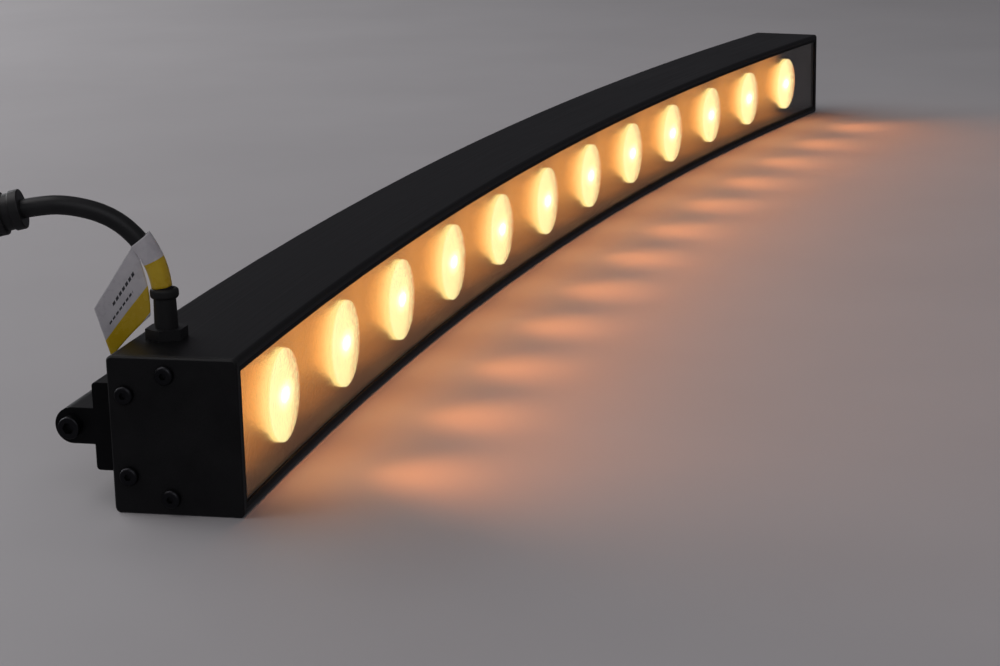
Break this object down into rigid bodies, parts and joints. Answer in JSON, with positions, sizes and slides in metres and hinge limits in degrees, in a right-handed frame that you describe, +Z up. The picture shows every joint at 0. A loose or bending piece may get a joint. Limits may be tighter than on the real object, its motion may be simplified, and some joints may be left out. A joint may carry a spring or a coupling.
{
  "type": "curved linear led light bar",
  "caption": "Curved black aluminium light bar lying on its side: a row of round lenses behind a glass window, a short cable with a connector, and two swivel brackets.",
  "frame": {"origin": "on the surface the bar rests on, under the middle of the box round the bar and its brackets", "axes": "+X along the bar from the cable end, +Y towards the rear, so the light face looks towards -Y, +Z up"},
  "size_m": [1.0207, 0.126, 0.1175],
  "materials": {
    "black_anodised": "black anodised, satin",
    "black_cast": "black powder coat, fine texture",
    "black_bracket": "black anodised, satin",
    "black_steel": "black oxide",
    "zinc_steel": "zinc plated",
    "brass": "plain",
    "clear_glass": "clear toughened",
    "black_rubber": "matt silicone",
    "solder_mask": "white solder mask on an aluminium core",
    "lens_frame_black": "black moulding",
    "lens_acrylic": "optical acrylic, lit",
    "led_phosphor": "phosphor dome, lit",
    "circuit_board": "green solder mask",
    "component_black": "moulded",
    "lead_sleeve": "silicone insulation",
    "black_nylon": "black nylon, fine texture",
    "cable_jacket": "black rubber jacket",
    "label_film": "white and yellow film",
    "connector_insert": "moulded nylon",
    "gold_contact": "gilt"
  },
  "bodies": {
    "bar": {"housing": "black_anodised", "front_glass": "clear_glass", "glass_seal": "black_rubber", "end_cap_left": "black_cast", "end_seal_left": "black_rubber", "bracket_base_left": "black_bracket", "end_cap_right": "black_cast", "end_seal_right": "black_rubber", "bracket_base_right": "black_bracket", "end_screws": "black_steel", "led_board": "solder_mask", "lens_frame": "lens_frame_black", "board_screws": "zinc_steel", "lens_01": "lens_acrylic", "led_01": "led_phosphor", "lens_02": "lens_acrylic", "led_02": "led_phosphor", "lens_03": "lens_acrylic", "led_03": "led_phosphor", "lens_04": "lens_acrylic", "led_04": "led_phosphor", "lens_05": "lens_acrylic", "led_05": "led_phosphor", "lens_06": "lens_acrylic", "led_06": "led_phosphor", "lens_07": "lens_acrylic", "led_07": "led_phosphor", "lens_08": "lens_acrylic", "led_08": "led_phosphor", "lens_09": "lens_acrylic", "led_09": "led_phosphor", "lens_10": "lens_acrylic", "led_10": "led_phosphor", "lens_11": "lens_acrylic", "led_11": "led_phosphor", "lens_12": "lens_acrylic", "led_12": "led_phosphor", "driver_board": "circuit_board", "driver_posts": "brass", "driver_parts": "component_black", "inner_leads": "lead_sleeve", "gland_body": "black_nylon", "gland_locknut": "black_nylon", "strain_relief": "black_rubber", "cable": "cable_jacket", "cable_label": "label_film", "connector_cap": "black_nylon", "connector_body": "black_nylon", "connector_insert": "connector_insert", "connector_contacts": "gold_contact", "connector_seal": "black_rubber", "pivot_bolts": "black_steel", "pivot_nuts": "zinc_steel", "slot_screws": "zinc_steel", "slot_nuts": "zinc_steel"},
    "foot_left": {"bracket_foot_left": "black_bracket"},
    "foot_right": {"bracket_foot_right": "black_bracket"},
    "coupling": {"coupling_ring": "black_nylon"}
  },
  "joints": [
    {"name": "foot_left_tilt", "type": "hinge", "parent": "bar", "child": "foot_left", "pos_m": [-0.45338, 0.03136, 0.03], "axis": [0.9922, 0.1248, 0], "range_deg": [0, 180]},
    {"name": "foot_right_tilt", "type": "hinge", "parent": "bar", "child": "foot_right", "pos_m": [0.45338, 0.03136, 0.03], "axis": [0.9922, -0.1248, 0], "range_deg": [0, 180]},
    {"name": "coupling_spin", "type": "hinge", "parent": "bar", "child": "coupling", "pos_m": [-0.49188, 0.04408, 0.11023], "axis": [-0.3379, 0.9184, -0.206], "continuous": true}
  ]
}
